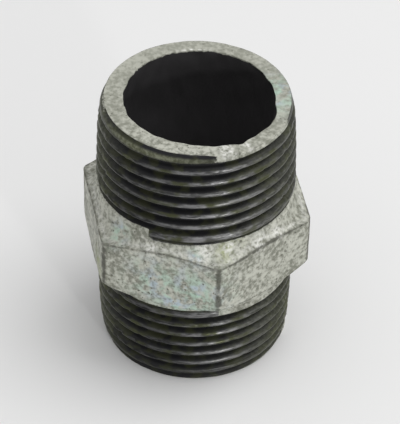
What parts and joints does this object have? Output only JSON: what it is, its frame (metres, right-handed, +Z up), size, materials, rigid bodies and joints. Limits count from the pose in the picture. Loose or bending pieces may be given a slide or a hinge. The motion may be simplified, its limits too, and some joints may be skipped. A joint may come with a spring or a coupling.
{
  "type": "hex nipple",
  "caption": "Galvanised malleable-iron pipe nipple with a male taper thread on each end, a hexagon between them for a spanner, and a plain through-bore.",
  "frame": {"origin": "centre of the lower end face, on the axis of the threads", "axes": "+Z up the axis of the threads; X runs through two opposite corners of the hexagon, so that two of its flats face -Y and +Y"},
  "size_m": [0.0402, 0.0354, 0.0487],
  "materials": {
    "galvanised_iron": "hot-dip galvanised and dull, with the threads cut through the zinc to dark oiled iron"
  },
  "bodies": {
    "root": {"nipple_body": "galvanised_iron"}
  },
  "joints": []
}
